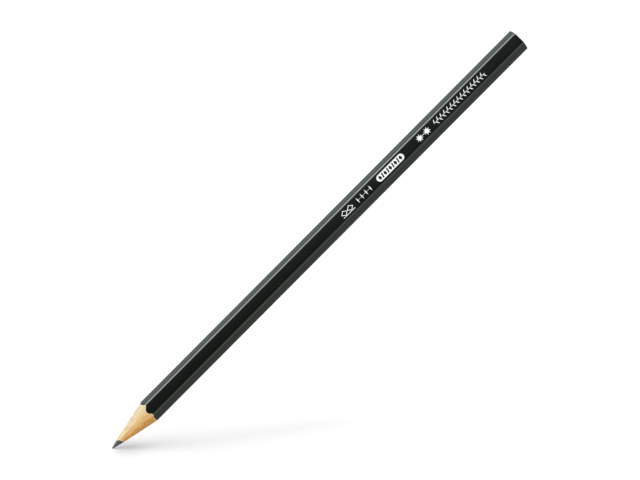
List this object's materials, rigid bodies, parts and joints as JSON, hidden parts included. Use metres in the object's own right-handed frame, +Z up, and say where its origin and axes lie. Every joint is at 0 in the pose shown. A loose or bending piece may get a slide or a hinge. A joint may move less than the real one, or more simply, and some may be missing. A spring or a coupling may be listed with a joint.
{
  "type": "graphite pencil",
  "caption": "Sharpened hexagonal wood-cased graphite pencil with a glossy black lacquered body, a cut tail end and plain white foil ornaments on one facet.",
  "frame": {"origin": "on the resting plane, straight under the pencil's axis, half way between the writing tip and the tail end", "axes": "+X along the pencil from the writing tip towards the tail end, +Z up from the facet it lies on, -Y towards the side whose upper facet carries the foil ornaments"},
  "size_m": [0.175, 0.0074, 0.0069],
  "materials": {
    "graphite": "fired graphite and clay, grey with a soft metallic sheen where it is sharpened",
    "wood": "bare softwood, fine straight grain, satin where the sharpener cut it",
    "glue": "dried pale wood glue",
    "ground_paint": "pale filler paint, matt",
    "black_lacquer": "black, high gloss, with fine lengthwise unevenness",
    "foil": "thin off-white hot-stamped foil, satin"
  },
  "bodies": {
    "root": {"graphite_core": "graphite", "core_glue_sleeve": "glue", "upper_wood_slat": "wood", "lower_wood_slat": "wood", "front_glue_seam": "glue", "rear_glue_seam": "glue", "ground_coat": "ground_paint", "black_lacquer": "black_lacquer", "foil_lozenge_pair": "foil", "foil_lozenge_row": "foil", "foil_capsule": "foil", "foil_star_pair": "foil", "foil_leaf_band": "foil"}
  },
  "joints": []
}
